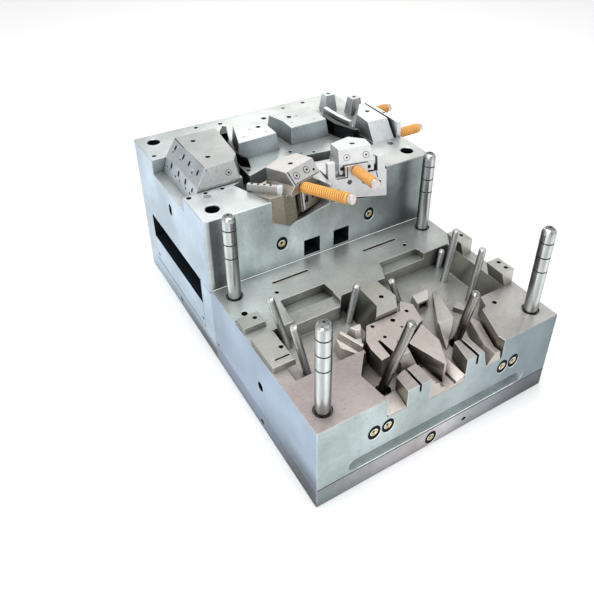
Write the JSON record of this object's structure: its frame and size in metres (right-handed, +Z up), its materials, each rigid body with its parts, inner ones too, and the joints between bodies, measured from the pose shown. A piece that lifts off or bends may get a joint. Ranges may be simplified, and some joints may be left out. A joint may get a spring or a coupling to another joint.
{
  "type": "plastic injection mould",
  "caption": "Opened steel injection mould: the fixed half with guide pillars and angle pins in front, the moving half with spring-loaded slides and ejector plates behind.",
  "frame": {"origin": "on the floor at the centre of the fixed half's underside, on the axis of its nozzle bore", "axes": "+X along the width of the plates to the right as seen from the front, +Y from the fixed half in front to the moving half behind, +Z up, the way the mould opens"},
  "size_m": [0.6786, 0.9005, 0.4456],
  "materials": {
    "tool_steel_plate": "ground flat, cool grey",
    "ground_steel": "ground flat, pale grey",
    "cavity_steel": "ground and polished, warm grey",
    "polished_steel": "polished round bar",
    "slide_steel": "milled, warm grey",
    "bright_steel": "finely ground, nearly white",
    "black_core_steel": "dark and glossy",
    "brass": "turned brass",
    "spring_orange": "orange paint on spring steel",
    "screw_steel": "dark steel"
  },
  "bodies": {
    "fixed_half": {"fixed_clamp_plate": "tool_steel_plate", "cavity_plate": "cavity_steel", "locating_ring": "ground_steel", "sprue_bush": "ground_steel", "centre_block": "ground_steel", "centre_insert": "ground_steel", "left_core_insert": "bright_steel", "wedge_insert": "bright_steel", "box_insert": "ground_steel", "ridge_insert": "ground_steel", "ramp_inserts": "ground_steel", "left_heel_blocks": "ground_steel", "right_heel_blocks": "ground_steel", "guide_pillar_1": "polished_steel", "guide_pillar_2": "polished_steel", "guide_pillar_3": "polished_steel", "guide_pillar_4": "polished_steel", "left_angle_pins": "polished_steel", "right_angle_pins": "polished_steel", "front_angle_pins": "polished_steel", "centre_core_pins": "polished_steel", "fixed_couplings": "brass", "fixed_clamp_screws": "screw_steel"},
    "moving_half": {"moving_clamp_plate": "tool_steel_plate", "spacer_block_front": "tool_steel_plate", "spacer_block_rear": "tool_steel_plate", "core_plate": "tool_steel_plate", "core_block_left": "slide_steel", "core_block_right": "slide_steel", "curved_core_left": "black_core_steel", "curved_core_right": "black_core_steel", "core_bar": "bright_steel", "rear_bosses": "slide_steel", "guide_bushes": "polished_steel", "front_left_stop_plate": "slide_steel", "front_right_stop_plate": "bright_steel", "right_stop_plate": "ground_steel", "front_left_spring": "spring_orange", "front_right_spring": "spring_orange", "right_springs": "spring_orange", "support_pillars": "ground_steel", "stop_buttons": "ground_steel", "moving_couplings": "brass", "moving_clamp_screws": "screw_steel"},
    "ejector_assembly": {"ejector_base_plate": "tool_steel_plate", "ejector_retainer_plate": "tool_steel_plate", "ejector_pins": "polished_steel", "return_pins": "polished_steel", "ejector_screws": "screw_steel"},
    "left_slide_unit": {"left_slide": "slide_steel", "left_slide_insert": "slide_steel"},
    "right_slide_unit": {"right_slide": "slide_steel", "right_slide_insert": "slide_steel", "right_rods": "ground_steel"},
    "front_left_slide_unit": {"front_left_slide": "slide_steel", "front_left_slide_insert": "slide_steel", "front_left_rod": "slide_steel"},
    "front_right_slide_unit": {"front_right_slide": "bright_steel", "front_right_slide_insert": "bright_steel", "front_right_rod": "bright_steel"}
  },
  "joints": [
    {"name": "moving_half_lift", "type": "slide", "parent": "fixed_half", "child": "moving_half", "axis": [0, 0, 1], "range_m": [0, 0.4]},
    {"name": "ejector_stroke", "type": "slide", "parent": "moving_half", "child": "ejector_assembly", "axis": [0, 0, 1], "range_m": [0, 0.06]},
    {"name": "left_slide_travel", "type": "slide", "parent": "moving_half", "child": "left_slide_unit", "axis": [-1, 0, 0], "range_m": [0, 0.022]},
    {"name": "right_slide_travel", "type": "slide", "parent": "moving_half", "child": "right_slide_unit", "axis": [-1, 0, 0], "range_m": [0, 0.016], "stiffness_N_per_m": 12000, "springref_m": -0.006, "deforming": ["right_springs"]},
    {"name": "front_left_slide_travel", "type": "slide", "parent": "moving_half", "child": "front_left_slide_unit", "axis": [-0.3387, 0.9305, -0.1392], "range_m": [0, 0.025], "stiffness_N_per_m": 8000, "springref_m": -0.01, "deforming": ["front_left_spring"]},
    {"name": "front_right_slide_travel", "type": "slide", "parent": "moving_half", "child": "front_right_slide_unit", "axis": [0.1378, 0.9806, -0.1392], "range_m": [0, 0.025], "stiffness_N_per_m": 8000, "springref_m": -0.01, "deforming": ["front_right_spring"]}
  ]
}
